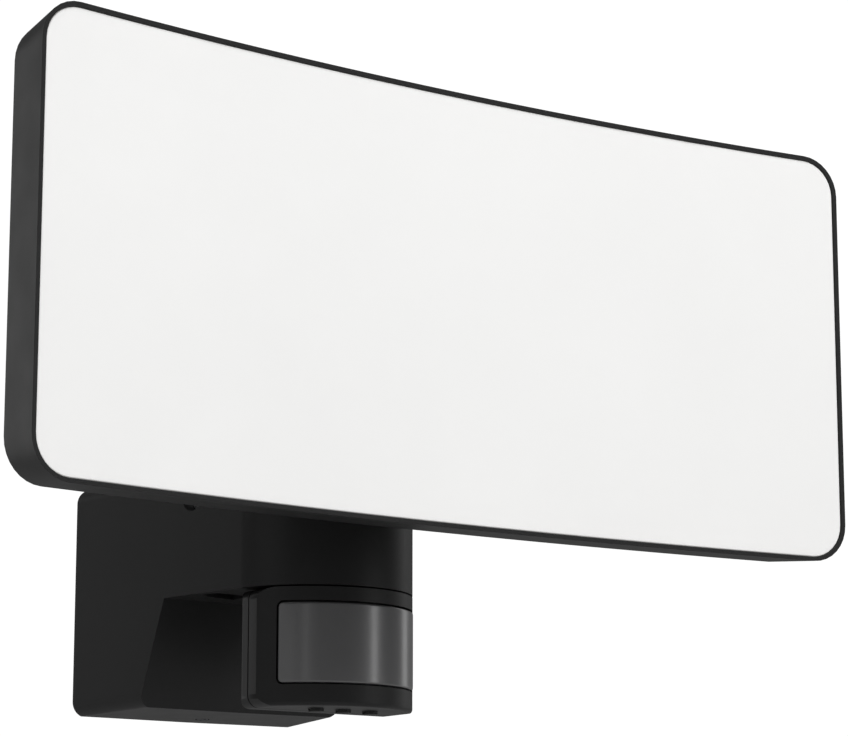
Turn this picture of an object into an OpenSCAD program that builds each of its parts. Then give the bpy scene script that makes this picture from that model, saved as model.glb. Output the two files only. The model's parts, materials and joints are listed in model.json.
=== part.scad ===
// Wall-mounted LED floodlight with a turning motion sensor under its base.
// +Z is up, the wall is the plane Y = 0, and the light looks towards -Y.
// The origin is the middle of the wall plate, on the wall.

/* [Light panel] */
// Width of the panel across its two front ends
panel_w = 270; // [230:1:330]
// Height of the panel
panel_h = 123.4; // [112:0.2:150]
// Thickness of the panel
panel_t = 17.8; // [17:0.2:24]
// How far the middle of the front lies behind its two ends
panel_sag = 9.2; // [6:0.2:14]
// Corner radius of the panel's outline
panel_corner_r = 11.5; // [8:0.5:20]
// How much smaller the back outline is, on each side
panel_draft = 1.6; // [0.5:0.1:2.5]
// Width of the black rim around the diffuser
panel_rim = 1.25; // [1:0.05:2]
// Thickness of the panel housing's back and side walls
panel_wall = 2.2; // [1.8:0.1:3]
// Distance from the wall to the middle of the panel's front
panel_reach = 143.6; // [140:0.2:170]
// Height of the panel's middle above the origin
panel_lift = 70.5; // [64:0.5:90]
// Thickness of the opal diffuser
diffuser_t = 2.2; // [1.6:0.1:3]
// Width of one flat LED board
led_board_w = 50; // [40:1:60]

/* [Wall base] */
// Width of the base at the wall
base_w = 79.8; // [76:0.2:96]
// Height of the base at the wall
base_h = 69.4; // [66:0.2:84]
// Fillet along the base's long edges
base_fillet = 4.6; // [3.4:0.1:5.6]
// Wall thickness of the base
base_wall = 2.4; // [2:0.1:3]
// Rise of the underside towards the front, in degrees
base_rise = 1.6; // [0:0.1:5]
// Radius of the rounded nose
nose_r = 28.9; // [27:0.1:35]
// Distance from the wall to the nose's axis
nose_reach = 71.2; // [69:0.2:80]
// Height of the nose's underside
nose_floor_z = -2.5; // [-6:0.5:0]
// Distance from the wall to the top of the slanted face
slant_top = 42.6; // [40:0.2:46]
// Lean of the slanted face from the vertical, in degrees
slant_lean = 19.5; // [10:0.5:22]

/* [Tilting arm] */
// Distance from the wall to the tilt bolt's axis
tilt_reach = 54.7; // [52:0.1:58]
// Height of the tilt bolt's axis
tilt_z = 26.5; // [25.5:0.1:27.5]
// Width of the arm
arm_w = 28; // [22:1:32]
// Depth of the arm's box section
arm_t = 13; // [10:0.5:14]
// Radius of the arm's pivot barrel
barrel_r = 7.5; // [6.5:0.1:8]
// Radius of the tilt bolt's shank
bolt_r = 2.5; // [2:0.1:3]

/* [Sensor head] */
// Gap between the nose and the sensor head
head_gap = 0.5; // [0.4:0.1:1]
// Width of the sensor head across its two flat sides
head_w = 53; // [50:0.2:56]
// Height of the sensor head
head_h = 33.5; // [30:0.1:40]
// Distance from the turning axis forward to the head's flat back
head_back = 2.4; // [2:0.1:5]
// Distance from the turning axis forward to the parting line
head_split = 7.2; // [6.8:0.1:10]
// Wall thickness of the sensor head
head_wall = 2; // [1.6:0.1:2.4]
// Radius of the hollow neck that the head turns on
neck_r = 8.95; // [8:0.05:9]
// Height of the lens
lens_h = 22.7; // [20:0.1:26]
// Half of the angle that the lens covers, in degrees
lens_half_angle = 53; // [45:0.1:58]
// Radius of an adjusting knob
knob_r = 2.25; // [2:0.05:3]
// Distance between two knobs
knob_pitch = 9.2; // [8:0.1:11]

/* [Wall fixing] */
// Thickness of the wall plate
plate_t = 3; // [2.5:0.1:4]
// Thickness of the foam pad against the wall
pad_t = 1.6; // [1:0.1:2.5]
// Distance between the two wall screws
fix_pitch = 50; // [44:1:54]
// Radius of a wall screw's slot
fix_r = 2.5; // [2:0.1:3]
// Length of a wall screw's slot, end to end
fix_slot = 10; // [6:0.5:12]
// Radius of the cable hole in its grommet
cable_r = 4.5; // [3:0.5:5]

/* [Hidden] */
$fn = 64;
eps = 0.01;

// Clearances between pieces
snug = 0.15;
run = 0.05;

// Colours
black_plastic = [0.035, 0.035, 0.038];
dark_rubber = [0.05, 0.05, 0.05];
steel = [0.62, 0.63, 0.65];
brass = [0.78, 0.62, 0.30];
board_green = [0.06, 0.28, 0.16];

// Panel: depths from the front surface, measured along its radius
front_r = (pow(panel_w / 2, 2) + pow(panel_sag, 2)) / (2 * panel_sag);
bend_y = -panel_reach - front_r;
face_set = 0.4;
seal_t = 0.8;
seal_w = 2.1;
ledge_d = face_set + diffuser_t + seal_t;
floor_d = panel_t - panel_wall;
spreader_t = 1.5;
spreader_gap = 1.1;
spreader_back_d = floor_d - spreader_gap;
spreader_front_d = spreader_back_d - spreader_t;
well_inset = panel_draft + panel_wall;
corner_steps = 8;
edge_steps = 24;

// Light boards
board_t = 1.2;
board_count = floor((panel_w - 2 * well_inset - 6) / (led_board_w + 1));
board_step = 2 * asin((led_board_w + 1) / 2 / (front_r + spreader_front_d));
board_h = panel_h - 2 * well_inset - 6;
board_back = sqrt(pow(front_r + spreader_front_d, 2) - pow(led_board_w / 2, 2)) - 0.04;
chip_cols = 3;
chip_rows = 4;
chip_size = 3;
chip_t = 0.7;
sheet_t = 0.3;

// Spreader screws, as [share of half width, share of half height]
spreader_marks = [for (sx = [-1, 0, 1], sz = [-1, 1]) [sx * (panel_w / 2 - 22), sz * (panel_h / 2 - 9)]];

// Arm and its flange
flange_w = 60;
flange_h = 52;
flange_t = 4;
arm_seal_t = 0.8;
pad_y = -panel_reach + panel_t + 0.4;
flange_y = pad_y + arm_seal_t;
flange_screw_x = flange_w / 2 - 6;
flange_screw_z = flange_h / 2 - 6;
arm_rise = atan2(panel_lift - tilt_z, -tilt_reach - flange_y);
arm_len = norm([panel_lift - tilt_z, -tilt_reach - flange_y]);
lead_r = 3;
slot_w = arm_w + 1.2;
ear_t = 5.4;
slot_floor_z = tilt_z - barrel_r - 0.6;
slot_back = tilt_reach - barrel_r - 3;
bolt_head_r = 4.2;
bolt_head_t = 4.5;
bolt_seat_x = -slot_w / 2 - ear_t - 4.5;
nut_t = 4;

// Base
taper = acos((nose_r - 0.02) / norm([base_w / 2, nose_reach])) - atan2(nose_reach, base_w / 2);
plate_y = -pad_t;
plate_front = plate_y - plate_t;
cable_z = -14;
grommet_r = cable_r + 3.5;
grommet_flange_r = grommet_r + 2;
board_y = -30;
board_posts = [for (sx = [-1, 1], z = [-2, 26]) [sx * 26, z]];
lock_y = -9.4;
lock_r = 1.5;
base_foot_z = -base_h / 2;
lug_foot = base_foot_z + base_wall + (5 - lock_y) * tan(base_rise) + 0.4;
lug_top = cable_z - grommet_flange_r;

// Sensor head
head_r = nose_r;
head_top = nose_floor_z - head_gap;
head_foot = head_top - head_h;
head_fillet = 3.6;
head_shoulder = 3;
head_back_y = -nose_reach - head_back;
head_split_y = -nose_reach - head_split;
groove_w = 0.5;
tongue_l = 2;
hub_r = neck_r + 3.6;
lens_z = head_top - 4.4 - lens_h / 2;
lens_gap = 0.45;
lens_t = 2.1;
lens_proud = 0.2;
bush_r = neck_r + run + 2.5;
bush_top = nose_floor_z + base_wall + 4.6;
knob_y = -nose_reach - 16;
knob_proud = 1;
knob_marks = [for (i = [-1 : 1]) i * knob_pitch];
setting_z = head_foot + head_wall + 4;
neck_foot = head_top - head_wall - 3;

// ---------- shared shapes ----------

// Rounded rectangle made of true arcs
module rounded_rect(w, h, r) {
    square([w - 2 * r, h], center = true);
    square([w, h - 2 * r], center = true);
    for (sx = [-1, 1], sy = [-1, 1])
        translate([sx * (w / 2 - r), sy * (h / 2 - r)]) circle(r);
}

// Solid between two planes of constant Y, from the wall-side plane y1 to the front plane y0
module along_y(y0, y1) {
    translate([0, y1, 0]) rotate([90, 0, 0]) linear_extrude(y1 - y0) children();
}

// Rod along X or Y
module rod_x(x0, x1, r) {
    translate([x0, 0, 0]) rotate([0, 90, 0]) cylinder(h = x1 - x0, r = r);
}
module rod_y(y0, y1, r) {
    translate([0, y1, 0]) rotate([90, 0, 0]) cylinder(h = y1 - y0, r = r);
}

// Pan-head screw pointing towards -Y when turn = 0, with a cross slot, head seated at the origin
module screw(head_r, head_t, shank_r, shank_l) {
    difference() {
        rotate([-90, 0, 0]) cylinder(h = head_t, r1 = head_r, r2 = head_r * 0.8);
        for (a = [0, 90])
            rotate([0, a, 0]) translate([-head_r, head_t * 0.5, -head_r * 0.12])
                cube([2 * head_r, head_t, head_r * 0.24]);
    }
    rod_y(-shank_l, eps, shank_r);
}

// Columns of a bent pad's outline, from the left end to the right: [x, half height]
function outline(w, h, r) = concat(
    [for (i = [0 : corner_steps]) let (a = 90 * i / corner_steps)
        [-w / 2 + r - r * cos(a), h / 2 - r + r * sin(a)]],
    [for (i = [1 : edge_steps - 1]) [(-w / 2 + r) + (w - 2 * r) * i / edge_steps, h / 2]],
    [for (i = [corner_steps : -1 : 0]) let (a = 90 * i / corner_steps)
        [w / 2 - r + r * cos(a), h / 2 - r + r * sin(a)]]);

function bend(x, d) = bend_y + sqrt(pow(front_r + d, 2) - x * x);

// Bent pad between two depths, with its own outline at each depth: [width, height, corner radius]
module bent_pad(front, back, d0, d1) {
    f = outline(front[0], front[1], front[2]);
    b = outline(back[0], back[1], back[2]);
    n = len(f);
    points = [for (i = [0 : n - 1]) each [
        [f[i][0], bend(f[i][0], d0), panel_lift + f[i][1]],
        [b[i][0], bend(b[i][0], d1), panel_lift + b[i][1]],
        [b[i][0], bend(b[i][0], d1), panel_lift - b[i][1]],
        [f[i][0], bend(f[i][0], d0), panel_lift - f[i][1]]]];
    sides = [for (i = [0 : n - 2], k = [0 : 3]) let (j = (k + 1) % 4)
        each [[4 * i + k, 4 * i + j, 4 * i + 4 + j], [4 * i + k, 4 * i + 4 + j, 4 * i + 4 + k]]];
    m = 4 * (n - 1);
    caps = [[0, 3, 2], [0, 2, 1], [m, m + 1, m + 2], [m, m + 2, m + 3]];
    polyhedron(points = points, faces = concat(sides, caps), convexity = 4);
}

function inset(t) = [panel_w - 2 * t, panel_h - 2 * t, max(panel_corner_r - t, 1)];

// Places children at a point of the panel, on its radius, facing the front
module on_panel(x, z, d) {
    translate([0, bend_y, panel_lift + z]) rotate([0, 0, -asin(x / front_r)])
        translate([0, front_r + d, 0]) children();
}

// ---------- light panel ----------

module panel_housing() {
    back = [panel_w - 2 * panel_draft, panel_h - 2 * panel_draft, panel_corner_r];
    color(black_plastic)
    difference() {
        union() {
            difference() {
                bent_pad(inset(0), back, 0, panel_t);
                bent_pad(inset(panel_rim), inset(panel_rim), -1, ledge_d);
                bent_pad(inset(well_inset), inset(well_inset), ledge_d - 1, floor_d);
            }
            along_y(-panel_reach + floor_d - 0.6, pad_y)
                translate([0, panel_lift]) square([flange_w + 4, flange_h + 4], center = true);
            back_ribs();
            for (m = spreader_marks) on_panel(m[0], m[1], floor_d) rod_y(-spreader_gap, 1, 4);
            for (sx = [-1, 1], sz = [-1, 1])
                translate([sx * flange_screw_x, 0, panel_lift + sz * flange_screw_z])
                    rod_y(-panel_reach + spreader_back_d, pad_y - 1, 5);
        }
        for (m = spreader_marks) on_panel(m[0], m[1], floor_d) rod_y(-spreader_gap - 1, 1, 1.25);
        for (sx = [-1, 1], sz = [-1, 1])
            translate([sx * flange_screw_x, 0, panel_lift + sz * flange_screw_z])
                rod_y(-panel_reach + spreader_back_d - 1, pad_y + 1, 2);
        translate([0, 0, panel_lift]) rod_y(-panel_reach, pad_y + 1, lead_r + 0.6);
        pressure_vent_place() rod_y(-8, 2, 3.5);
    }
}

// Shallow upright stiffening ribs on the panel's back, either side of the arm
module back_ribs() {
    for (sx = [-1, 1], i = [0 : 4])
        on_panel(sx * (50 + 16 * i), 0, panel_t)
            translate([-0.8, -1.2, -panel_h / 2 + 18]) cube([1.6, 2.6, panel_h - 36]);
}

module pressure_vent_place() {
    on_panel(42, -panel_h / 2 + 26, panel_t) children();
}

module pressure_vent() {
    color(dark_rubber) pressure_vent_place() difference() {
        union() {
            rod_y(0, 2.2, 6);
            rod_y(-panel_wall - 0.8, eps, 3.5);
        }
        for (a = [0 : 60 : 300]) rotate([0, a, 0]) translate([4.6, 0, 0]) rod_y(1.2, 3, 0.6);
    }
}

module panel_seal() {
    seal = panel_rim + snug;
    color(dark_rubber) difference() {
        bent_pad(inset(seal), inset(seal), ledge_d - seal_t, ledge_d);
        bent_pad(inset(seal + seal_w), inset(seal + seal_w), ledge_d - seal_t - 1, ledge_d + 1);
    }
}

module diffuser() {
    edge = panel_rim + snug;
    color([0.95, 0.95, 0.94])
        bent_pad(inset(edge), inset(edge), face_set, face_set + diffuser_t);
}

module heat_spreader() {
    edge = well_inset + 1;
    color([0.75, 0.76, 0.78]) difference() {
        bent_pad(inset(edge), inset(edge), spreader_front_d, spreader_back_d);
        for (m = spreader_marks) on_panel(m[0], m[1], spreader_back_d) rod_y(-9, 3, 1.8);
        translate([0, 0, panel_lift]) rod_y(-panel_reach, pad_y, lead_r + 1);
    }
}

module spreader_screws() {
    color(steel)
        for (m = spreader_marks)
            on_panel(m[0], m[1], spreader_front_d - 0.02) rotate([0, 0, 180])
                screw(2.6, 1.6, 1.2, spreader_t + spreader_gap);
}

// Places children at every light board, on the board's back face
module at_boards() {
    for (i = [0 : board_count - 1])
        translate([0, bend_y, panel_lift])
            rotate([0, 0, (i - (board_count - 1) / 2) * board_step])
                translate([0, board_back, 0]) children();
}

// Places children at every light chip of one board
module at_chips() {
    for (c = [0 : chip_cols - 1], r = [0 : chip_rows - 1])
        translate([(c - (chip_cols - 1) / 2) * led_board_w / chip_cols, 0,
                   (r - (chip_rows - 1) / 2) * board_h / chip_rows]) children();
}

module led_boards() {
    color([0.92, 0.93, 0.92]) difference() {
        at_boards() translate([-led_board_w / 2, -board_t, -board_h / 2])
            cube([led_board_w, board_t, board_h]);
        for (m = spreader_marks) on_panel(m[0], m[1], spreader_back_d) rod_y(-9, 3, 3.2);
        translate([0, 0, panel_lift]) rod_y(-panel_reach, pad_y, lead_r + 1);
    }
}

module led_chips() {
    color([0.95, 0.85, 0.45]) at_boards() at_chips()
        translate([-chip_size / 2, -board_t - chip_t, -chip_size / 2])
            cube([chip_size, chip_t, chip_size]);
}

module reflector_sheets() {
    margin = 4;
    window = chip_size + 2;
    color([0.97, 0.97, 0.97]) at_boards() difference() {
        translate([-led_board_w / 2 + margin, -board_t - sheet_t, -board_h / 2 + margin + 4])
            cube([led_board_w - 2 * margin, sheet_t, board_h - 2 * margin - 8]);
        at_chips() translate([-window / 2, -board_t - 1, -window / 2]) cube([window, 2, window]);
        rod_y(-board_t - 1, 1, lead_r + 1);
    }
}

// ---------- tilting arm ----------

module at_tilt_axis() {
    translate([0, -tilt_reach, tilt_z]) children();
}

module at_flange_screws() {
    for (sx = [-1, 1], sz = [-1, 1])
        translate([sx * flange_screw_x, 0, panel_lift + sz * flange_screw_z]) children();
}

module tilt_arm() {
    color(black_plastic) difference() {
        union() {
            at_tilt_axis() rod_x(-arm_w / 2, arm_w / 2, barrel_r);
            intersection() {
                at_tilt_axis() rotate([-arm_rise, 0, 0])
                    translate([-arm_w / 2, -arm_len - 20, -arm_t / 2])
                        cube([arm_w, arm_len + 20, arm_t]);
                translate([-arm_w, flange_y, -20]) cube([2 * arm_w, 200, 300]);
            }
            along_y(flange_y, flange_y + flange_t)
                translate([0, panel_lift]) rounded_rect(flange_w, flange_h, 6);
            for (sx = [-1, 1]) arm_gusset(sx * (arm_w / 2 - 5));
        }
        at_tilt_axis() rod_x(-arm_w, arm_w, bolt_r + run);
        at_flange_screws() rod_y(flange_y - 1, flange_y + flange_t + 1, 2.2);
        translate([0, 0, panel_lift]) rod_y(flange_y - 1, flange_y + flange_t + 4, lead_r + 0.4);
    }
}

// Upright web that stiffens the arm under its flange
module arm_gusset(x) {
    reach = 16;
    translate([x - 2, 0, 0]) rotate([90, 0, 90]) linear_extrude(4)
        polygon([[flange_y + 1, panel_lift - flange_h / 2 + 2],
                 [flange_y + 1, panel_lift],
                 [flange_y + reach + 4, panel_lift - 15],
                 [flange_y + reach - 2, panel_lift - 18]]);
}

module arm_seal() {
    color(dark_rubber) difference() {
        along_y(pad_y, flange_y) translate([0, panel_lift]) rounded_rect(flange_w, flange_h, 6);
        at_flange_screws() rod_y(pad_y - 1, flange_y + 1, 2.2);
        translate([0, 0, panel_lift]) rod_y(pad_y - 1, flange_y + 1, lead_r + run);
    }
}

module arm_screws() {
    color(steel) at_flange_screws() translate([0, flange_y + flange_t, 0])
        screw(3.6, 2.4, 2, flange_t + arm_seal_t + panel_wall);
}

module arm_lead() {
    color(dark_rubber) translate([0, 0, panel_lift])
        rod_y(-panel_reach + spreader_front_d, flange_y + flange_t + 3, lead_r);
}

module tilt_bolt() {
    color(steel) at_tilt_axis() difference() {
        union() {
            rod_x(bolt_seat_x - bolt_head_t, bolt_seat_x, bolt_head_r);
            rod_x(bolt_seat_x - eps, slot_w / 2 + ear_t + nut_t + 1, bolt_r);
        }
        translate([bolt_seat_x - bolt_head_t - 1, 0, 0]) rotate([0, 90, 0])
            cylinder(h = 3.5, r = 2.3, $fn = 6);
    }
}

module tilt_nut() {
    color(steel) at_tilt_axis() translate([slot_w / 2 + ear_t, 0, 0]) rotate([0, 90, 0])
        difference() {
            cylinder(h = nut_t, r = 4.6, $fn = 6);
            translate([0, 0, -1]) cylinder(h = nut_t + 2, r = bolt_r);
        }
}

module tilt_washers() {
    gap = (slot_w - arm_w) / 2;
    color(steel) at_tilt_axis() for (side = [-1, 1]) difference() {
        rod_x(side * slot_w / 2 - (side > 0 ? gap - run : 0),
              side * slot_w / 2 + (side > 0 ? 0 : gap - run), barrel_r - 0.5);
        rod_x(-arm_w, arm_w, bolt_r + run);
    }
}

// ---------- wall base ----------

// One long edge's corner: everything inside the side wall and the top or underside
module edge_corner(sx, sz, t) {
    big = 400;
    translate([sx * base_w / 2, 0, sz * base_h / 2])
        rotate([sz < 0 ? -base_rise : 0, 0, -sx * taper])
            translate([-sx * (big / 2 + t), 10, -sz * (big / 2 + t)])
                rotate([90, 0, 0]) linear_extrude(160)
                    rounded_rect(big, big, base_fillet - t);
}

// The base as a solid, with every wall moved inwards by t
module base_solid(t) {
    shift = t / cos(slant_lean);
    difference() {
        intersection() {
            translate([0, 0, -60]) linear_extrude(120) nose_plan(t);
            edge_corner(-1, 1, t);
            edge_corner(1, 1, t);
            edge_corner(-1, -1, t);
            edge_corner(1, -1, t);
        }
        rotate([90, 0, 90]) linear_extrude(200, center = true)
            polygon([[-200, nose_floor_z + t],
                     [-slant_top + shift - t * tan(slant_lean), nose_floor_z + t],
                     [-slant_top + shift + (60 + nose_floor_z) * tan(slant_lean), -60],
                     [-200, -60]]);
    }
}

// Plan of the base: the round nose, and room behind it for the tapered sides
module nose_plan(t) {
    over = t > 0 ? 1 : 0;
    front = nose_reach + nose_r * sin(taper);
    translate([0, -nose_reach]) circle(nose_r - t, $fn = 128);
    translate([-60, -front]) square([120, front + over]);
}

// Material that stays inside the base's hollow: the arm's slot, the bolt bosses and the neck's collar
module base_fittings() {
    translate([-slot_w / 2 - ear_t, -slot_back - 60, slot_floor_z - base_wall])
        cube([slot_w + 2 * ear_t, 60 + base_wall, 60]);
    at_tilt_axis() rod_x(-60, -slot_w / 2, bolt_head_r + 2.4);
    translate([0, -nose_reach, nose_floor_z]) cylinder(h = base_wall + 4, r = bush_r + 2.2);
}

module base_housing() {
    color(black_plastic) difference() {
        base_solid(0);
        difference() {
            base_solid(base_wall);
            base_fittings();
        }
        translate([-slot_w / 2, -slot_back - 70, slot_floor_z]) cube([slot_w, 70, 60]);
        at_tilt_axis() rod_x(-60, 60, bolt_r + 0.1);
        at_tilt_axis() rod_x(-60, bolt_seat_x, bolt_head_r + 0.3);
        translate([0, -slot_back - 14, slot_floor_z - 10]) cylinder(h = 12, r = lead_r + 1.2);
        translate([0, -nose_reach, nose_floor_z - 1]) cylinder(h = 20, r = bush_r);
        for (sx = [-1, 1]) breather_slot(sx, -1, base_wall + 2);
        translate([0, lock_y, base_foot_z - 1]) cylinder(h = base_wall + 4, r = lock_r + 0.2);
        translate([0, lock_y, base_foot_z - 1]) cylinder(h = 2.6, r = 2.3);
    }
}

// Pointed slot in the nose's floor, behind the sensor head
module breather_slot(side, z0, h) {
    y_mid = -nose_reach + 14.6;
    translate([0, 0, nose_floor_z + z0]) linear_extrude(h)
        polygon([for (p = [[29, 0], [26.5, -5.4], [15, -4.4], [15, 5.6], [25, 3.6]])
            [side * p[0], y_mid + p[1]]]);
}

module breather_membranes() {
    top = nose_floor_z + base_wall;
    color([0.12, 0.12, 0.12]) for (sx = [-1, 1])
        translate([sx * 21.2 - 6.4, -nose_reach + 8.6, top]) cube([12.8, 13, 0.4]);
}

// Slab that fits inside the base's hollow, between two depths
module wall_slab(y0, y1) {
    intersection() {
        along_y(y0, y1) square([base_w, base_h], center = true);
        base_solid(base_wall + snug);
    }
}

module wall_pad() {
    color([0.10, 0.10, 0.11]) difference() {
        wall_slab(-pad_t, 0);
        for (sx = [-1, 1]) fix_slot_cut(sx, -pad_t - 1, 1);
        translate([0, 0, cable_z]) rod_y(-pad_t - 1, 1, grommet_flange_r + 0.4);
    }
}

module fix_slot_cut(side, y0, y1) {
    along_y(y0, y1) translate([side * fix_pitch / 2, 0]) {
        square([fix_slot - 2 * fix_r, 2 * fix_r], center = true);
        for (sx = [-1, 1]) translate([sx * (fix_slot / 2 - fix_r), 0]) circle(fix_r);
    }
}

module wall_plate() {
    lug_w = 10;
    color([0.16, 0.16, 0.17]) difference() {
        union() {
            wall_slab(plate_front, plate_y);
            for (p = board_posts) translate([p[0], 0, p[1]]) rod_y(board_y, plate_front + 1, 3);
            translate([-lug_w / 2, lock_y - 5, lug_foot])
                cube([lug_w, -lock_y + 5 + plate_front + 1, lug_top - lug_foot]);
            translate([0, 0, cable_z]) rod_y(plate_front - 1.5, plate_y, grommet_flange_r + 1.5);
        }
        for (sx = [-1, 1]) fix_slot_cut(sx, plate_front - 1, plate_y + 1);
        translate([0, 0, cable_z]) rod_y(plate_front - 3, plate_y + 1, grommet_r);
        for (p = board_posts) translate([p[0], 0, p[1]]) rod_y(board_y - 1, board_y + 9, 1.25);
        translate([0, lock_y, base_foot_z]) cylinder(h = lug_top + 1 - base_foot_z, r = lock_r - 0.25);
    }
}

module cable_grommet() {
    body = plate_t + 1.5;
    color(dark_rubber) translate([0, 0, cable_z]) difference() {
        union() {
            rod_y(plate_y - body, plate_y, grommet_r);
            rod_y(plate_y, plate_y + 1.2, grommet_flange_r);
            rod_y(plate_y - body - 1.4, plate_y - body, grommet_flange_r - 0.6);
        }
        rod_y(-40, 1, cable_r);
    }
}

module lock_screw() {
    seat = base_foot_z + 1.6;
    color(steel) translate([0, lock_y, seat]) rotate([-90, 0, 0])
        screw(2.1, 1.2, lock_r - 0.25, 8);
}

module terminal_block() {
    color([0.85, 0.85, 0.82]) difference() {
        translate([-18, plate_front - 12, 2]) cube([36, 12, 14]);
        for (i = [-1 : 1]) {
            translate([i * 11, 0, 9]) rod_y(plate_front - 13, plate_front - 7, 2.6);
            translate([i * 11, plate_front - 4, -1]) cylinder(h = 20, r = 2);
        }
    }
}

module terminal_screws() {
    color(brass) for (i = [-1 : 1])
        translate([i * 11, plate_front - 9, 9]) screw_short();
}

module screw_short() {
    difference() {
        rod_y(-1.6, 2, 2.2);
        translate([-3, -2, -0.35]) cube([6, 1, 0.7]);
    }
}

module driver_board() {
    color(board_green) difference() {
        translate([-31, board_y - 1.6, -7]) cube([62, 1.6, 38]);
        for (p = board_posts) translate([p[0], 0, p[1]]) rod_y(board_y - 3, board_y + 1, 1.6);
    }
}

module board_screws() {
    color(steel) for (p = board_posts)
        translate([p[0], board_y - 1.6, p[1]]) rotate([0, 0, 180]) screw(2.6, 1.8, 1.2, 8);
}

module transformer() {
    color([0.30, 0.28, 0.22]) translate([-11, board_y, 22]) {
        for (x = [-8, 5]) translate([x, 0, -8]) cube([3, 11, 16]);
        translate([-5, 5.5, 0]) rotate([0, 90, 0]) cylinder(h = 10, r = 5.5);
        translate([-8, 0, -8]) cube([16, 1.6, 16]);
    }
}

module mains_capacitor() {
    color([0.12, 0.16, 0.30]) translate([12, 0, 22]) {
        rod_y(board_y, board_y + 12, 6);
        rod_y(board_y + 12, board_y + 12.6, 5);
    }
}

module relay() {
    color([0.10, 0.22, 0.42]) translate([-9, board_y, -6]) cube([18, 10, 7.6]);
}

module lead_gland() {
    color(dark_rubber) translate([0, -slot_back - 14, slot_floor_z - base_wall]) difference() {
        union() {
            cylinder(h = base_wall, r = lead_r + 1.2);
            translate([0, 0, -1.4]) cylinder(h = 1.4, r = lead_r + 2.6);
        }
        translate([0, 0, -3]) cylinder(h = base_wall + 8, r = lead_r - 0.6);
    }
}

module pan_bush() {
    color([0.86, 0.86, 0.82]) translate([0, -nose_reach, 0]) difference() {
        union() {
            translate([0, 0, nose_floor_z]) cylinder(h = bush_top - nose_floor_z, r = bush_r);
            translate([0, 0, bush_top - 0.6]) cylinder(h = 1.2, r = bush_r + 1.6);
        }
        translate([0, 0, nose_floor_z - 1]) cylinder(h = 20, r = neck_r + run);
    }
}

// ---------- sensor head ----------

module at_pan_axis() {
    translate([0, -nose_reach, 0]) children();
}

// Front outline of the head, with wider rounding at the top corners
module head_face(t) {
    half = head_w / 2 - t;
    low = head_foot + t;
    high = head_top - t;
    for (sx = [-1, 1]) {
        translate([sx * (half - head_fillet + t), low + head_fillet - t]) circle(head_fillet - t);
        translate([sx * (half - head_shoulder + t), high - head_shoulder + t]) circle(head_shoulder - t);
    }
    polygon([[-half, low + head_fillet - t], [-half, high - head_shoulder + t],
             [-half + head_shoulder - t, high], [half - head_shoulder + t, high],
             [half, high - head_shoulder + t], [half, low + head_fillet - t],
             [half - head_fillet + t, low], [-half + head_fillet - t, low]]);
}

// The head as a solid, with every wall moved inwards by t
module head_solid(t) {
    soft = 1.2;
    intersection() {
        at_pan_axis() rotate_extrude($fn = 128) {
            translate([0, head_foot + t]) square([head_r - t - soft, head_h - 2 * t]);
            translate([0, head_foot + t + soft]) square([head_r - t, head_h - 2 * t - soft]);
            translate([head_r - t - soft, head_foot + t + soft]) circle(soft);
        }
        along_y(-nose_reach - 60, head_back_y - t) head_face(t);
        translate([0, head_back_y - t - 30, head_foot])
            linear_extrude(head_h) rounded_rect(head_w - 2 * t, 60, 2 - t / 2);
    }
}

module front_part(y) {
    translate([-60, y - 100, head_foot - 20]) cube([120, 100, 80]);
}

module head_boss(x, z) {
    translate([x, 0, z]) rod_y(head_split_y - 6, head_split_y - tongue_l - 0.2, 2.7);
    web = z > lens_z ? head_top - z - 0.6 : z - head_foot - 0.6;
    translate([x - 2, head_split_y - 6, z > lens_z ? z : z - web]) cube([4, 4, web]);
}

function head_bosses() = [for (sx = [-1, 1], sz = [-1, 1]) [sx * 17, lens_z + sz * (lens_h / 2 + 0.4)]];

// Curved block on the pan axis, between two radii, over the lens's angle plus a margin
module arc_block(r0, r1, h, extra) {
    a = lens_half_angle + extra;
    at_pan_axis() translate([0, 0, lens_z - h / 2]) rotate([0, 0, -90 - a])
        rotate_extrude(angle = 2 * a, $fn = 128) translate([r0, 0]) square([r1 - r0, h]);
}

module sensor_front_cover() {
    gap_deg = lens_gap / head_r * 180 / PI;
    color(black_plastic) difference() {
        union() {
            difference() {
                head_solid(0);
                head_solid(head_wall);
                translate([0, 200 + head_split_y - groove_w / 2, 0]) cube([200, 400, 200], center = true);
            }
            for (b = head_bosses()) head_boss(b[0], b[1]);
        }
        difference() {
            head_solid(head_wall / 2 - 0.05);
            front_part(head_split_y - tongue_l - 0.1);
        }
        arc_block(head_r - 9, head_r + 5, lens_h + 2 * lens_gap, gap_deg);
        for (b = head_bosses()) translate([b[0], 0, b[1]])
            rod_y(head_split_y - 5, head_split_y, 1.1);
        for (x = knob_marks) translate([x, knob_y, head_foot - 1])
            cylinder(h = head_wall + 2, r = knob_r + 0.08);
        at_pan_axis() translate([0, 0, head_top - 6]) cylinder(h = 10, r = hub_r + 0.1);
    }
}

module sensor_rear_shell() {
    hub_foot = head_foot + head_fillet;
    color(black_plastic) difference() {
        union() {
            difference() {
                head_solid(0);
                front_part(head_split_y + groove_w / 2);
            }
            intersection() {
                head_solid(head_wall / 2);
                translate([-60, head_split_y - tongue_l, -80]) cube([120, tongue_l + 2, 120]);
            }
            at_pan_axis() translate([0, 0, hub_foot]) cylinder(h = head_top - hub_foot, r = hub_r);
        }
        head_solid(head_wall);
        at_pan_axis() translate([0, 0, hub_foot + 2])
            cylinder(h = head_top - head_wall - 0.4 - hub_foot - 2, r = hub_r - 2);
        at_pan_axis() translate([0, 0, head_top - 8]) cylinder(h = 12, r = neck_r);
        for (b = head_bosses()) translate([b[0], 0, b[1]]) {
            rod_y(head_split_y - 3, head_back_y + 1, 1.5);
            rod_y(head_back_y - 1.2, head_back_y + 1, 2.6);
        }
    }
}

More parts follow.
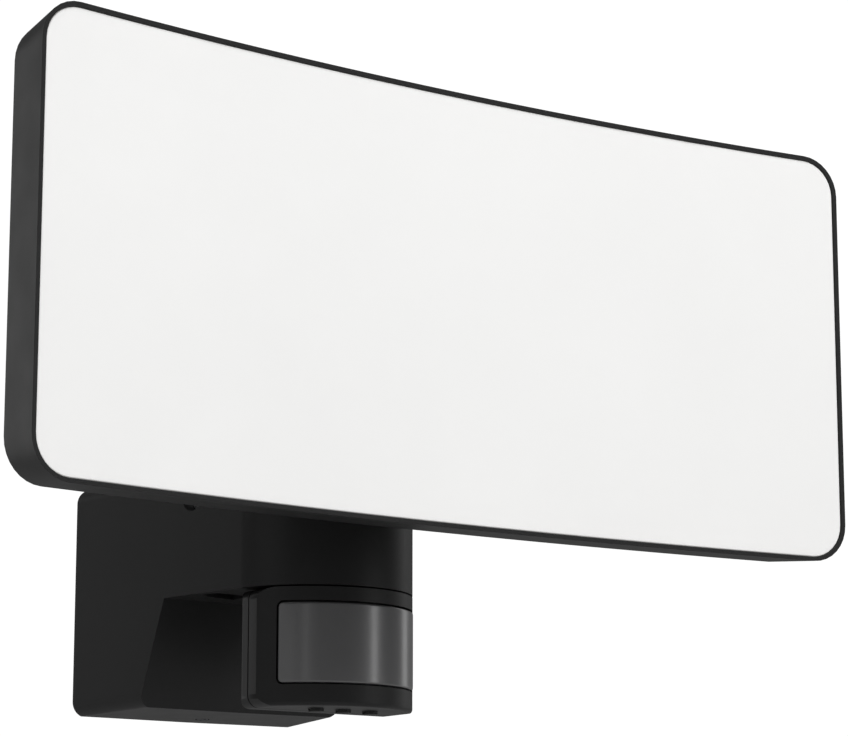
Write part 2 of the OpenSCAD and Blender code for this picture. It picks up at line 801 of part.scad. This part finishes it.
module head_screws() {
    color(steel) for (b = head_bosses()) translate([b[0], head_back_y - 1.2, b[1]])
        screw(2.4, 1.1, 1.1, head_split - head_back + 3.4);
}

module sensor_lens() {
    outer = head_r + lens_proud;
    color([0.10, 0.10, 0.11, 0.85]) union() {
        arc_block(outer - lens_t, outer, lens_h, 0);
        difference() {
            arc_block(outer - lens_t - 1, outer - lens_t + eps, lens_h, 0);
            arc_block(outer - lens_t - 2, outer - lens_t + 1, lens_h - 4, -4);
        }
    }
}

module lens_seal() {
    r1 = head_r - head_wall - 0.05;
    r0 = r1 - 1.2;
    color(dark_rubber) difference() {
        arc_block(r0, r1, lens_h + 2.4, 2.4);
        arc_block(r0 - 2, r1 + 2, lens_h + 0.1, 0.1);
    }
}

module sensor_board() {
    foot = lens_z - lens_h / 2;
    color(board_green) translate([-12.5, head_split_y - 3.4, foot]) cube([25, 1.4, neck_foot - 0.6 - foot]);
}

module pyro_sensor() {
    face = head_split_y - 3.4;
    color([0.78, 0.76, 0.70]) translate([0, 0, lens_z]) difference() {
        union() {
            rod_y(face - 0.8, face, 4.7);
            rod_y(face - 4.2, face, 4.1);
        }
        translate([-2, face - 4.6, -1.5]) cube([4, 0.8, 3]);
    }
}

module photocell() {
    color([0.80, 0.45, 0.20]) translate([8.5, 0, lens_z + 6])
        rod_y(head_split_y - 5.4, head_split_y - 3.4, 2.5);
}

module sensor_neck() {
    color([0.10, 0.10, 0.11]) at_pan_axis() difference() {
        union() {
            translate([0, 0, neck_foot + 0.6]) cylinder(h = bush_top + 2 - neck_foot, r = neck_r);
            translate([0, 0, neck_foot]) cylinder(h = 2.6, r = hub_r - 2.1);
        }
        translate([0, 0, neck_foot - 1]) cylinder(h = 40, r = neck_r - 2.4);
        translate([0, 0, bush_top + 0.8]) difference() {
            cylinder(h = 1.3, r = neck_r + 1);
            translate([0, 0, -1]) cylinder(h = 4, r = neck_r - 0.8);
        }
    }
}

module neck_ring() {
    color(steel) at_pan_axis() translate([0, 0, bush_top + 0.85]) difference() {
        cylinder(h = 1.2, r = neck_r + 1.9);
        translate([0, 0, -1]) cylinder(h = 4, r = neck_r - 0.8);
        translate([-1.5, 0, -1]) cube([3, 20, 4]);
    }
}

module neck_washer() {
    color(dark_rubber) at_pan_axis() translate([0, 0, head_top]) difference() {
        cylinder(h = head_gap - run, r = bush_r - 0.2);
        translate([0, 0, -1]) cylinder(h = 3, r = neck_r + 0.02);
    }
}

module setting_board() {
    half = knob_pitch + 4.2;
    color(board_green) difference() {
        translate([-half, knob_y - 4.5, setting_z]) cube([2 * half, 7.1, 1.2]);
        for (x = knob_marks) translate([x, knob_y, setting_z - 1]) cylinder(h = 4, r = 1.5);
    }
}

module potentiometers() {
    color([0.15, 0.30, 0.55]) for (x = knob_marks) translate([x, knob_y, setting_z + 1.2]) difference() {
        translate([-3, -3, 0]) cube([6, 6, 3.4]);
        translate([0, 0, -1]) cylinder(h = 3.6, r = 1.1 + run);
    }
}

// Adjusting knob: a slotted button, a collar that holds it in, and a stem up into its potentiometer
module knob(x) {
    collar_z = head_foot + head_wall + 0.1;
    translate([x, knob_y, 0]) difference() {
        union() {
            translate([0, 0, head_foot - knob_proud])
                cylinder(h = knob_proud + head_wall + 0.2, r = knob_r);
            translate([0, 0, collar_z]) cylinder(h = 1.2, r = knob_r + 0.8);
            translate([0, 0, collar_z]) cylinder(h = setting_z + 3 - collar_z, r = 1.1);
        }
        translate([-knob_r - 1, -0.4, head_foot - knob_proud - 1]) cube([2 * knob_r + 2, 0.8, 1.8]);
    }
}

module time_knob() {
    color([0.05, 0.05, 0.05]) knob(knob_marks[0]);
}
module light_level_knob() {
    color([0.05, 0.05, 0.05]) knob(knob_marks[1]);
}
module range_knob() {
    color([0.05, 0.05, 0.05]) knob(knob_marks[2]);
}

wall_pad();
wall_plate();
cable_grommet();
base_housing();
lock_screw();
terminal_block();
terminal_screws();
driver_board();
board_screws();
transformer();
mains_capacitor();
relay();
breather_membranes();
pan_bush();
tilt_bolt();
tilt_nut();
tilt_washers();
lead_gland();
panel_housing();
panel_seal();
diffuser();
heat_spreader();
spreader_screws();
led_boards();
led_chips();
reflector_sheets();
pressure_vent();
tilt_arm();
arm_seal();
arm_screws();
arm_lead();
sensor_front_cover();
sensor_rear_shell();
head_screws();
sensor_lens();
lens_seal();
sensor_board();
pyro_sensor();
photocell();
sensor_neck();
neck_ring();
neck_washer();
setting_board();
potentiometers();
time_knob();
light_level_knob();
range_knob();
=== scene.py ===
"""Wall-mounted LED floodlight with a turning motion sensor head.

The CAD model is loaded as a fixed frame. This script gives every piece its finish, rounds the edges of the
visible mouldings, makes the sensor's smoky lens and the outer screws, and sets up the studio.
"""
import json
import math

import bmesh
import bpy
from mathutils import Matrix, Vector


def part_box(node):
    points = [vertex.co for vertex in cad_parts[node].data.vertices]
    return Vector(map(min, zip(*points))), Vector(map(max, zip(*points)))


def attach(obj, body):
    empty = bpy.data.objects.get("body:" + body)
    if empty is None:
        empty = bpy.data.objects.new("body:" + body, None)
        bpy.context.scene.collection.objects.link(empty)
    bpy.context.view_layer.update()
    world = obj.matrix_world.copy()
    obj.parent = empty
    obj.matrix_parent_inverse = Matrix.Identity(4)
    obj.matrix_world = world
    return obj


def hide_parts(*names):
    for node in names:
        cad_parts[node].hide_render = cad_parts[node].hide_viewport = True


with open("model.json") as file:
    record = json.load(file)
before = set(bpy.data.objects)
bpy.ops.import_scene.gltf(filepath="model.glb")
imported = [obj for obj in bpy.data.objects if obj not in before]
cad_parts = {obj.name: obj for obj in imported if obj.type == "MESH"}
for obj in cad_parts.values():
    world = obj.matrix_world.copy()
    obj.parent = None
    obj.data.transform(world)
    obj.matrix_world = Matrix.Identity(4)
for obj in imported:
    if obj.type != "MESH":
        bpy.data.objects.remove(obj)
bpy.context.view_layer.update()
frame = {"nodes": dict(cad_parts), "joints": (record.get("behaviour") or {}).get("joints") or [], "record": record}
NODES = frame["nodes"]
BODY_OF = {n: body for body, names in frame["record"]["behaviour"]["bodies"].items() for n in names}
SLOT_OF = {s["node"]: s["material_slot"] for s in frame["record"]["subparts"]}
MM = 0.001


# ---------------------------------------------------------------- materials

class Finish:
    """A node material on Object coordinates, with short helpers for its colour, gloss and grain."""

    def __init__(self, name):
        self.mat = bpy.data.materials.new(name)
        self.mat.use_nodes = True
        self.tree = self.mat.node_tree
        self.shader = self.tree.nodes["Principled BSDF"]
        self.place = self.tree.nodes.new("ShaderNodeTexCoord")

    def node(self, kind, **values):
        n = self.tree.nodes.new(kind)
        for key, value in values.items():
            if key in n.inputs:
                n.inputs[key].default_value = value
            else:
                setattr(n, key, value)
        return n

    def link(self, out, into):
        self.tree.links.new(out, into)

    def set(self, **values):
        names = dict(rough="Roughness", metal="Metallic", coat="Coat Weight", coat_rough="Coat Roughness",
                     spec="Specular IOR Level", glow="Emission Color", glow_power="Emission Strength")
        for key, value in values.items():
            self.shader.inputs[names[key]].default_value = (*value, 1) if isinstance(value, tuple) else value
        return self

    def noise(self, scale, detail=3.0, stretch=(1, 1, 1)):
        m = self.node("ShaderNodeMapping")
        m.inputs["Scale"].default_value = stretch
        n = self.node("ShaderNodeTexNoise", Scale=scale, Detail=detail)
        self.link(self.place.outputs["Object"], m.inputs["Vector"])
        self.link(m.outputs["Vector"], n.inputs["Vector"])
        return n.outputs["Fac"]

    def ramp(self, fac, low, high, start=0.3, end=0.7):
        r = self.node("ShaderNodeValToRGB")
        for stop, position, value in zip(r.color_ramp.elements, (start, end), (low, high)):
            stop.position = position
            stop.color = (*value, 1) if isinstance(value, tuple) else (value, value, value, 1)
        self.link(fac, r.inputs["Fac"])
        return r.outputs["Color"]

    def colour(self, fac, low, high, **k):
        self.link(self.ramp(fac, low, high, **k), self.shader.inputs["Base Color"])
        return self

    def gloss(self, fac, low, high, **k):
        self.link(self.ramp(fac, low, high, **k), self.shader.inputs["Roughness"])
        return self

    def grain(self, fac, strength, depth):
        b = self.node("ShaderNodeBump", Strength=strength, Distance=depth)
        self.link(fac, b.inputs["Height"])
        self.link(b.outputs["Normal"], self.shader.inputs["Normal"])
        return self


# Scales are per metre, so a scale of 35 makes patches about 30 mm across. Depths are in metres.

def moulded(name, low, high, rough, grain_scale=2600, grain=0.25, depth=0.00004, spec=0.5, **extra):
    f = Finish(name).set(spec=spec, **extra)
    f.colour(f.noise(35), low, high)
    f.gloss(f.noise(90), rough - 0.02, rough + 0.02)
    return f.grain(f.noise(grain_scale, 2.0), grain, depth).mat


def metal(name, low, high, rough, stretch=(1, 1, 1), grain=0.12):
    f = Finish(name).set(metal=1.0)
    f.colour(f.noise(160, stretch=stretch), low, high)
    f.gloss(f.noise(420, stretch=stretch), rough - 0.07, rough + 0.07)
    return f.grain(f.noise(1500, stretch=stretch), grain, 0.00003).mat


def circuit_board(name, low, high):
    f = Finish(name).set(coat=0.5, coat_rough=0.15)
    tracks = f.node("ShaderNodeTexBrick", Scale=260.0)
    tracks.inputs["Color1"].default_value = (*low, 1)
    tracks.inputs["Color2"].default_value = (*high, 1)
    tracks.inputs["Mortar"].default_value = (*[min(1, 1.5 * c + 0.01) for c in high], 1)
    tracks.inputs["Mortar Size"].default_value = 0.03
    f.link(f.place.outputs["Object"], tracks.inputs["Vector"])
    f.link(tracks.outputs["Color"], f.shader.inputs["Base Color"])
    f.gloss(f.noise(300), 0.28, 0.42)
    return f.grain(tracks.outputs["Fac"], 0.15, 0.00005).mat


def opal_plastic_with_painted_glow():
    # The faint warm emission is a painted glow: it brightens the diffuser as light falling on it would, though the lamp
    # itself is not lit.
    f = Finish("opal_diffuser_painted_glow").set(spec=0.45, coat=0.15, coat_rough=0.3, glow=(1.0, 0.985, 0.96), glow_power=0.15)
    f.colour(f.noise(14), (0.875, 0.875, 0.870), (0.895, 0.895, 0.890))
    f.gloss(f.noise(60), 0.34, 0.42)
    return f.grain(f.noise(3200, 2.0), 0.12, 0.00003).mat


def smoky_plastic():
    f = Finish("smoky_lens").set(spec=0.75, coat=0.6, coat_rough=0.2)
    f.colour(f.noise(45, stretch=(1, 1, 0.1)), (0.080, 0.080, 0.082), (0.094, 0.094, 0.096))
    f.gloss(f.noise(70, stretch=(1, 1, 0.05)), 0.29, 0.36)
    return f.grain(f.noise(900, 2.0, stretch=(1, 1, 0.06)), 0.05, 0.00004).mat


MATERIALS = {
    "foam": moulded("wall_foam", (0.03, 0.03, 0.032), (0.055, 0.055, 0.058), 0.9, 700, 0.6, 0.0002),
    "dark_plastic": moulded("plate_plastic", (0.014, 0.014, 0.015), (0.02, 0.02, 0.021), 0.5),
    "rubber": moulded("soft_rubber", (0.008, 0.008, 0.008), (0.014, 0.014, 0.014), 0.72, 1500, 0.3),
    "black_plastic": moulded("satin_black_plastic", (0.0094, 0.0094, 0.0096), (0.0110, 0.0110, 0.0112), 0.46, spec=0.3),
    "dark_steel": metal("black_zinc_steel", (0.06, 0.06, 0.065), (0.09, 0.09, 0.095), 0.36),
    "steel": metal("zinc_plated_steel", (0.50, 0.51, 0.53), (0.64, 0.65, 0.66), 0.30),
    "pale_plastic": moulded("pale_nylon", (0.70, 0.70, 0.65), (0.78, 0.78, 0.73), 0.42, 900, 0.1),
    "brass": metal("turned_brass", (0.62, 0.45, 0.18), (0.78, 0.60, 0.30), 0.28),
    "board": circuit_board("green_board", (0.010, 0.075, 0.030), (0.014, 0.095, 0.040)),
    "coil": moulded("taped_coil", (0.24, 0.17, 0.05), (0.32, 0.24, 0.08), 0.45, 600, 0.3, 0.0001),
    "capacitor": moulded("capacitor_sleeve", (0.02, 0.03, 0.10), (0.03, 0.045, 0.14), 0.25, 700, 0.05),
    "blue_plastic": moulded("blue_component", (0.02, 0.09, 0.30), (0.03, 0.12, 0.38), 0.32, 900, 0.1),
    "opal": opal_plastic_with_painted_glow(),
    "sheet_metal": metal("rolled_aluminium", (0.70, 0.71, 0.73), (0.80, 0.81, 0.82), 0.35, (12, 1, 1)),
    "white_board": circuit_board("white_light_board", (0.80, 0.81, 0.80), (0.84, 0.85, 0.84)),
    "phosphor": moulded("phosphor_gel", (0.80, 0.55, 0.08), (0.90, 0.68, 0.14), 0.2, 800, 0.05),
    "white_sheet": moulded("white_reflector", (0.86, 0.86, 0.86), (0.92, 0.92, 0.92), 0.6, 1400, 0.2),
    "smoky_lens": smoky_plastic(),
    "can": metal("nickel_can", (0.60, 0.58, 0.53), (0.72, 0.70, 0.66), 0.25),
    "cell": moulded("photocell_face", (0.45, 0.16, 0.05), (0.60, 0.30, 0.10), 0.2, 500, 0.1, coat=0.6),
    "knob_plastic": moulded("knob_plastic", (0.0035, 0.0035, 0.0035), (0.006, 0.006, 0.006), 0.5),
}
for name, node in NODES.items():
    node.data.materials.clear()
    node.data.materials.append(MATERIALS[SLOT_OF[name]])


# ---------------------------------------------------------------- finished copies of CAD nodes

def link_mesh(name, mesh):
    piece = bpy.data.objects.new(name, mesh)
    bpy.context.scene.collection.objects.link(piece)
    return piece


def bake(piece):
    """Makes a piece's modifiers part of its mesh, and removes them."""
    graph = bpy.context.evaluated_depsgraph_get()
    mesh = bpy.data.meshes.new_from_object(piece.evaluated_get(graph))
    piece.modifiers.clear()
    piece.data = mesh
    return piece


def soften(piece, width, segments, angle=32, sharp=40):
    """Rounds every edge sharper than an angle, and shades the flats evenly."""
    bevel = piece.modifiers.new("soft_edges", "BEVEL")
    bevel.width = width
    bevel.segments = segments
    bevel.limit_method = "ANGLE"
    bevel.angle_limit = math.radians(angle)
    bevel.use_clamp_overlap = True
    bevel.miter_outer = "MITER_ARC"
    bpy.context.view_layer.update()
    bake(piece)
    piece.data.polygons.foreach_set("use_smooth", [True] * len(piece.data.polygons))
    piece.data.set_sharp_from_angle(angle=math.radians(sharp))
    weigh = piece.modifiers.new("even_normals", "WEIGHTED_NORMAL")
    weigh.keep_sharp = True
    weigh.weight = 60
    return bake(piece)


def finished(node, width, segments=3):
    """Makes a copy of a CAD node with small rounded edges, which stands for it."""
    same_place = 0.002 * MM
    same_plane = math.radians(0.6)
    bm = bmesh.new()
    bm.from_mesh(NODES[node].data)
    bmesh.ops.remove_doubles(bm, verts=bm.verts, dist=same_place)
    bmesh.ops.dissolve_limit(bm, angle_limit=same_plane, verts=bm.verts, edges=bm.edges)
    mesh = bpy.data.meshes.new(node + "_finished")
    bm.to_mesh(mesh)
    bm.free()
    mesh.materials.append(MATERIALS[SLOT_OF[node]])
    stand_in(soften(link_mesh(node + "_finished", mesh), width, segments), node)


def stand_in(piece, node):
    """Puts a piece on the body of a CAD node and hides the node, so the piece stands in its place."""
    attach(piece, BODY_OF[node])
    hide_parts(node)


EDGE_RADII_MM = {"panel_housing": 0.5, "base_housing": 0.35, "tilt_arm": 0.9, "sensor_front_cover": 0.25,
                 "sensor_rear_shell": 0.3, "wall_plate": 0.3, "diffuser": 0.3, "time_knob": 0.15,
                 "light_level_knob": 0.15, "range_knob": 0.15}
for name, radius in EDGE_RADII_MM.items():
    finished(name, radius * MM, segments=4 if name == "panel_housing" else 3)


# ---------------------------------------------------------------- sensor lens and its window

JOINTS = {j["name"]: j for j in frame["joints"]}
pan = Vector(JOINTS["head_pan"]["pos_m"])
lens_low, lens_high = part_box("sensor_lens")
nose_r = pan.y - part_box("base_housing")[0].y
lens_r = pan.y - lens_low.y
lens_half = math.asin(min(1, lens_high.x / lens_r))
lens_mid = (lens_low.z + lens_high.z) / 2
lens_h = lens_high.z - lens_low.z


def around_pan(angle, radius, z):
    """A point on a cylinder about the head's turning axis. Angle 0 faces -Y."""
    return Vector((pan.x + radius * math.sin(angle), pan.y - radius * math.cos(angle), z))


def sensor_lens():
    """A smoky shell with rounded corners, crowned at its edges, with fine upright ribs on its inner face."""
    columns, rows, corner_steps = 168, 36, 6
    corner = 1.5 * MM
    crown = 0.55 * MM
    thick = 1.9 * MM
    rib_height = 0.12 * MM
    rib_count = 90
    bm = bmesh.new()

    def from_edges(a, z):
        """Distances along the shell to the nearest upright edge and to the nearest level edge."""
        return lens_r * (lens_half - abs(a)), lens_h / 2 - abs(z - lens_mid)

    def edge_drop(a, z):
        """How far the rounded edge lies below the shell's face."""
        dx, dz = from_edges(a, z)
        near = min(dx, dz)
        if dx < corner and dz < corner:
            near = corner - math.hypot(corner - dx, corner - dz)
        return crown * (1 - math.sqrt(max(0, 1 - (1 - min(near, crown) / crown) ** 2)))

    def clip(a, z):
        """Brings a point beyond a rounded corner back onto the corner's arc."""
        dx, dz = from_edges(a, z)
        if dx < corner and dz < corner:
            far = math.hypot(corner - dx, corner - dz)
            if far > corner:
                dx = corner - (corner - dx) * corner / far
                dz = corner - (corner - dz) * corner / far
                a = math.copysign(lens_half - dx / lens_r, a)
                z = lens_mid + math.copysign(lens_h / 2 - dz, z - lens_mid)
        return a, z

    def spread(n, half, fine):
        """Positions from -half to half, closer together near both ends."""
        steps = [fine * i / corner_steps for i in range(corner_steps)]
        spaces = n - 2 * corner_steps
        inner = [-half + fine + (2 * half - 2 * fine) * i / spaces for i in range(spaces + 1)]
        return [-half + s for s in steps] + inner + [half - s for s in reversed(steps)]

    angles = spread(columns, lens_half, corner / lens_r)
    heights = [lens_mid + z for z in spread(rows, lens_h / 2, corner)]
    front, back = [], []
    for z0 in heights:
        for a0 in angles:
            a, z = clip(a0, z0)
            front.append(bm.verts.new(around_pan(a, lens_r - edge_drop(a, z), z)))
            rib = rib_height * (0.5 + 0.5 * math.cos(a * rib_count))
            back.append(bm.verts.new(around_pan(a, lens_r - thick - rib, z)))
    wide = len(angles)
    tall = len(heights)
    for j in range(tall - 1):
        for i in range(wide - 1):
            k = j * wide + i
            bm.faces.new([front[k], front[k + 1], front[k + wide + 1], front[k + wide]])
            bm.faces.new([back[k + wide], back[k + wide + 1], back[k + 1], back[k]])
    top_row = (tall - 1) * wide
    rim = ([i for i in range(wide - 1)] + [j * wide + wide - 1 for j in range(tall - 1)]
           + [top_row + i for i in range(wide - 1, 0, -1)] + [j * wide for j in range(tall - 1, 0, -1)])
    for a, b in zip(rim, rim[1:] + rim[:1]):
        bm.faces.new([front[b], front[a], back[a], back[b]])
    bmesh.ops.remove_doubles(bm, verts=bm.verts, dist=1e-7)
    bmesh.ops.recalc_face_normals(bm, faces=bm.faces)
    mesh = bpy.data.meshes.new("smoky_lens_shell")
    bm.to_mesh(mesh)
    bm.free()
    mesh.materials.append(MATERIALS["smoky_lens"])
    mesh.polygons.foreach_set("use_smooth", [True] * len(mesh.polygons))
    mesh.set_sharp_from_angle(angle=math.radians(50))
    stand_in(link_mesh("smoky_lens_shell", mesh), "sensor_lens")


def window_corners():
    """Small curved webs that round the corners of the lens window."""
    gap = 0.45 * MM
    half = lens_half + gap / nose_r
    height = lens_h + 2 * gap
    corner = 1.9 * MM
    lap = 0.4 * MM
    outer = nose_r - 0.02 * MM
    inner = nose_r - 1.95 * MM
    steps = 8
    bm = bmesh.new()
    for sx in (-1, 1):
        for sz in (-1, 1):
            flat = [(half + lap / nose_r, height / 2 + lap), (half + lap / nose_r, height / 2 - corner)]
            for i in range(steps + 1):
                t = math.pi / 2 * i / steps
                flat.append((half - (corner - corner * math.cos(t)) / nose_r,
                             height / 2 - corner + corner * math.sin(t)))
            flat.append((half - corner / nose_r, height / 2 + lap))
            rings = [[bm.verts.new(around_pan(sx * a, r, lens_mid + sz * z)) for a, z in flat]
                     for r in (outer, inner)]
            n = len(flat)
            bm.faces.new(rings[0])
            bm.faces.new(list(reversed(rings[1])))
            for i in range(n):
                bm.faces.new([rings[0][i], rings[1][i], rings[1][(i + 1) % n], rings[0][(i + 1) % n]])
    bmesh.ops.recalc_face_normals(bm, faces=bm.faces)
    mesh = bpy.data.meshes.new("lens_window_corners")
    bm.to_mesh(mesh)
    bm.free()
    mesh.materials.append(MATERIALS["black_plastic"])
    piece = link_mesh("lens_window_corners", mesh)
    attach(piece, "sensor_head")


sensor_lens()
window_corners()


# ---------------------------------------------------------------- screws

def screw_shape(head_r, head_h, shank_r, shank_l, around=36):
    """A domed pan-head screw with a hex socket. Its seat is at the origin and its head points to +Z."""
    socket_r = 0.48 * head_r
    edge = 0.22 * head_h

    def hexagon(angle):
        return socket_r * math.cos(math.pi / 6) / math.cos((angle + math.pi / 6) % (math.pi / 3) - math.pi / 6)

    dome = [(head_r, 0.0), (head_r, 0.45 * head_h), (head_r - 0.35 * edge, 0.45 * head_h + 0.7 * edge),
            (head_r - edge, 0.45 * head_h + edge), (0.72 * head_r, 0.88 * head_h), (0.58 * head_r, head_h)]
    rings = [[(shank_r * 0.7, -shank_l)] * around, [(shank_r, -shank_l + 0.3 * shank_r)] * around,
             [(shank_r, 0.0)] * around]
    rings += [[spot] * around for spot in dome]
    for depth in (head_h, 0.94 * head_h, 0.35 * head_h):
        rings.append([(hexagon(2 * math.pi * i / around) * (1.06 if depth == head_h else 1.0), depth)
                      for i in range(around)])
    bm = bmesh.new()
    loops = []
    for ring in rings:
        turn = [2 * math.pi * i / around for i in range(around)]
        loops.append([bm.verts.new((r * math.cos(t), r * math.sin(t), z)) for t, (r, z) in zip(turn, ring)])
    for low, high in zip(loops, loops[1:]):
        for i in range(around):
            j = (i + 1) % around
            bm.faces.new([low[i], low[j], high[j], high[i]])
    bm.faces.new(list(reversed(loops[0])))
    bm.faces.new(loops[-1])
    bmesh.ops.recalc_face_normals(bm, faces=bm.faces)
    mesh = bpy.data.meshes.new("screw_shape")
    bm.to_mesh(mesh)
    bm.free()
    mesh.polygons.foreach_set("use_smooth", [True] * len(mesh.polygons))
    mesh.set_sharp_from_angle(angle=math.radians(42))
    return mesh


def screw_tree():
    """Puts one screw on every point of a pattern, each turned by a random amount about its own axis."""
    tree = bpy.data.node_groups.new("screws_on_points", "GeometryNodeTree")
    face = tree.interface
    face.new_socket("Geometry", in_out="INPUT", socket_type="NodeSocketGeometry")
    for label, kind in (("Screw", "NodeSocketObject"), ("Tilt", "NodeSocketVector"), ("Seed", "NodeSocketInt"),
                        ("Finish", "NodeSocketMaterial")):
        face.new_socket(label, in_out="INPUT", socket_type=kind)
    face.new_socket("Geometry", in_out="OUTPUT", socket_type="NodeSocketGeometry")
    make = tree.nodes.new
    inside = make("NodeGroupInput")
    points = make("GeometryNodeMeshToPoints")
    shape = make("GeometryNodeObjectInfo")
    place = make("GeometryNodeInstanceOnPoints")
    spin = make("FunctionNodeRandomValue")
    spin.data_type = "FLOAT_VECTOR"
    spin.inputs["Min"].default_value = (0, 0, 0)
    spin.inputs["Max"].default_value = (0, 0, math.pi / 3)
    turn = make("GeometryNodeRotateInstances")
    real = make("GeometryNodeRealizeInstances")
    finish = make("GeometryNodeSetMaterial")
    outside = make("NodeGroupOutput")
    link = tree.links.new
    link(inside.outputs["Geometry"], points.inputs["Mesh"])
    link(inside.outputs["Screw"], shape.inputs["Object"])
    link(points.outputs["Points"], place.inputs["Points"])
    link(shape.outputs["Geometry"], place.inputs["Instance"])
    link(inside.outputs["Tilt"], place.inputs["Rotation"])
    link(inside.outputs["Seed"], spin.inputs["Seed"])
    link(place.outputs["Instances"], turn.inputs["Instances"])
    link(spin.outputs["Value"], turn.inputs["Rotation"])
    link(turn.outputs["Instances"], real.inputs["Geometry"])
    link(real.outputs["Geometry"], finish.inputs["Geometry"])
    link(inside.outputs["Finish"], finish.inputs["Material"])
    link(finish.outputs["Geometry"], outside.inputs["Geometry"])
    return tree


SCREWS = screw_tree()


def screw_set(node, head_r, head_h, shank_r, seed):
    """Finished screws, with heads towards +Y, in place of a CAD node of screws. Each sits where the CAD screw does."""
    low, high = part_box(node)
    seat = high.y - head_h
    spots = [(x, seat, z) for x in (low.x + head_r, high.x - head_r) for z in (low.z + head_r, high.z - head_r)]
    mesh = bpy.data.meshes.new(node + "_points")
    mesh.from_pydata(spots, [], [])
    piece = link_mesh(node + "_finished", mesh)
    shape = link_mesh(node + "_shape", screw_shape(head_r, head_h, shank_r, seat - low.y))
    spread = piece.modifiers.new("screws", "NODES")
    spread.node_group = SCREWS
    values = dict(Screw=shape, Tilt=(-math.pi / 2, 0, 0), Seed=seed, Finish=MATERIALS[SLOT_OF[node]])
    for item in SCREWS.interface.items_tree:
        if item.in_out == "INPUT" and item.name in values:
            spread[item.identifier] = values[item.name]
    bpy.context.view_layer.update()
    bake(piece)
    bpy.data.objects.remove(shape)
    stand_in(piece, node)


screw_set("arm_screws", 3.6 * MM, 2.4 * MM, 2.0 * MM, 3)
screw_set("head_screws", 2.4 * MM, 1.1 * MM, 1.1 * MM, 8)


# ---------------------------------------------------------------- stage, light and camera

FLOOR_Z = -0.35
FLOOR_HALF_WIDTH = 3.0


def stage_floor():
    bm = bmesh.new()
    bmesh.ops.create_grid(bm, x_segments=8, y_segments=8, size=FLOOR_HALF_WIDTH)
    mesh = bpy.data.meshes.new("studio_floor")
    bm.to_mesh(mesh)
    bm.free()
    mesh.transform(Matrix.Translation((0, 0, FLOOR_Z)))
    f = Finish("pale_floor").set(rough=0.8)
    f.colour(f.noise(2), (0.66, 0.66, 0.66), (0.69, 0.69, 0.69))
    mesh.materials.append(f.mat)
    link_mesh("studio_floor", mesh)


def softbox(name, bearing, height, reach, size, radiance):
    """A rectangular light. Its bearing is measured from -Y towards +X, and its height from the level, in degrees."""
    b = math.radians(bearing)
    h = math.radians(height)
    centre = Vector((0, -0.08, 0.04))
    away = Vector((math.sin(b) * math.cos(h), -math.cos(b) * math.cos(h), math.sin(h)))
    data = bpy.data.lights.new(name, "AREA")
    data.shape = "RECTANGLE"
    data.size, data.size_y = size
    data.energy = radiance * math.pi * size[0] * size[1]
    lamp = bpy.data.objects.new(name, data)
    lamp.location = centre + away * reach
    lamp.rotation_euler = away.to_track_quat("Z", "Y").to_euler()
    bpy.context.scene.collection.objects.link(lamp)


stage_floor()
softbox("key_above", -15, 52, 1.6, (1.6, 1.0), 4.3)
softbox("strip_left", -41, 8, 1.7, (0.20, 1.3), 0.75)
softbox("strip_right", 41, 8, 1.7, (0.20, 1.3), 4.0)
softbox("side_left", -158, 4, 1.8, (0.6, 1.4), 1.05)
softbox("soft_left", -78, 6, 1.6, (1.5, 1.4), 0.32)
softbox("side_right", 97, 8, 1.8, (0.4, 1.5), 1.1)

world = bpy.data.worlds.new("studio")
bpy.context.scene.world = world
world.use_nodes = True
tree = world.node_tree
ambient = tree.nodes["Background"]
ambient.inputs["Color"].default_value = (1, 1, 1, 1)
ambient.inputs["Strength"].default_value = 0.16
backdrop = tree.nodes.new("ShaderNodeBackground")
backdrop.inputs["Color"].default_value = (1, 1, 1, 1)
backdrop.inputs["Strength"].default_value = 1.05
seen = tree.nodes.new("ShaderNodeLightPath")
mix = tree.nodes.new("ShaderNodeMixShader")
tree.links.new(seen.outputs["Is Camera Ray"], mix.inputs["Fac"])
tree.links.new(ambient.outputs["Background"], mix.inputs[1])
tree.links.new(backdrop.outputs["Background"], mix.inputs[2])
tree.links.new(mix.outputs["Shader"], tree.nodes["World Output"].inputs["Surface"])

view = bpy.data.cameras.new("view")
view.sensor_fit = "HORIZONTAL"
view.sensor_width = 36
view.lens = 121.45
view.shift_x = -0.0114
view.shift_y = 0.0273
view.clip_end = 20
camera = bpy.data.objects.new("view", view)
camera.location = (-0.4523, -0.7672, -0.1039)
camera.rotation_euler = (math.radians(101.078), 0, math.radians(-35.438))
bpy.context.scene.collection.objects.link(camera)
bpy.context.scene.camera = camera
bpy.context.scene.view_settings.view_transform = "Standard"
